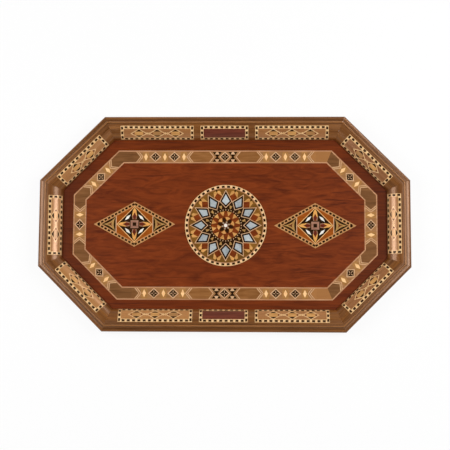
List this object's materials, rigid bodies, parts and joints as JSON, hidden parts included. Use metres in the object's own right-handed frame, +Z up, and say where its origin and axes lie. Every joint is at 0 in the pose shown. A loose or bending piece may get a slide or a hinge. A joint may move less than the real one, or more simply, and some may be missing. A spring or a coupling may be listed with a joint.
{
  "type": "inlaid octagonal serving tray",
  "caption": "Octagonal wooden serving tray with a rounded mitred frame and geometric marquetry: a star medallion, lozenges, a banded border and mosaic panels.",
  "frame": {"origin": "on the table plane under the middle of the tray", "axes": "+X along the tray's length, +Y towards its back long side, +Z up"},
  "size_m": [0.402, 0.234, 0.0218],
  "materials": {
    "frame_wood": "gloss",
    "spline_wood": "matt",
    "board_ply": "matt",
    "brad_steel": "satin",
    "field_mahogany": "gloss",
    "band_wood": "gloss",
    "string_wood": "gloss",
    "plaque_wood": "gloss",
    "gold_wood": "gloss",
    "ebony": "gloss",
    "check_band": "gloss",
    "pearl": "gloss",
    "red_wood": "gloss",
    "olive_wood": "gloss",
    "rust_wood": "gloss",
    "bone": "gloss",
    "rose_wood": "gloss",
    "panel_wood": "gloss",
    "panel_mahogany": "gloss"
  },
  "bodies": {
    "root": {"base_board": "board_ply", "base_brads": "brad_steel", "border_corner_bands": "band_wood", "border_diamonds": "gold_wood", "border_end_bands": "band_wood", "border_hourglasses": "ebony", "border_inner_strings": "string_wood", "border_long_bands": "band_wood", "border_outer_strings": "string_wood", "border_stars": "ebony", "centre_panel_bands": "check_band", "centre_panels": "panel_mahogany", "core_ground": "olive_wood", "core_rhombs": "ebony", "core_wings": "gold_wood", "corner_panel_bands": "check_band", "corner_panels": "panel_wood", "corner_plaques": "plaque_wood", "end_panel_bands": "check_band", "end_panels": "panel_wood", "field_veneer": "field_mahogany", "kite_frames": "ebony", "kite_pearls": "pearl", "kite_strings": "string_wood", "long_panel_bands": "check_band", "long_panels": "panel_wood", "lozenge_bands": "check_band", "lozenge_cross_strings": "string_wood", "lozenge_rust_panels": "rust_wood", "lozenge_tip_slivers": "ebony", "lozenge_tip_stars": "olive_wood", "margin_veneer": "field_mahogany", "medallion_ebony": "ebony", "medallion_ground": "olive_wood", "medallion_hub": "bone", "medallion_ring": "check_band", "medallion_squares": "red_wood", "medallion_triangles": "gold_wood", "medallion_wings": "gold_wood", "mitre_splines": "spline_wood", "panel_hexagons": "gold_wood", "rail_back": "frame_wood", "rail_back_left": "frame_wood", "rail_back_right": "frame_wood", "rail_front": "frame_wood", "rail_front_left": "frame_wood", "rail_front_right": "frame_wood", "rail_left": "frame_wood", "rail_right": "frame_wood", "side_plaques": "plaque_wood", "square_centres": "rose_wood", "square_corner_kites": "gold_wood", "square_grounds": "ebony", "square_slivers": "bone", "square_strings": "string_wood", "star_gold_points": "gold_wood", "star_red_points": "red_wood"}
  },
  "joints": []
}
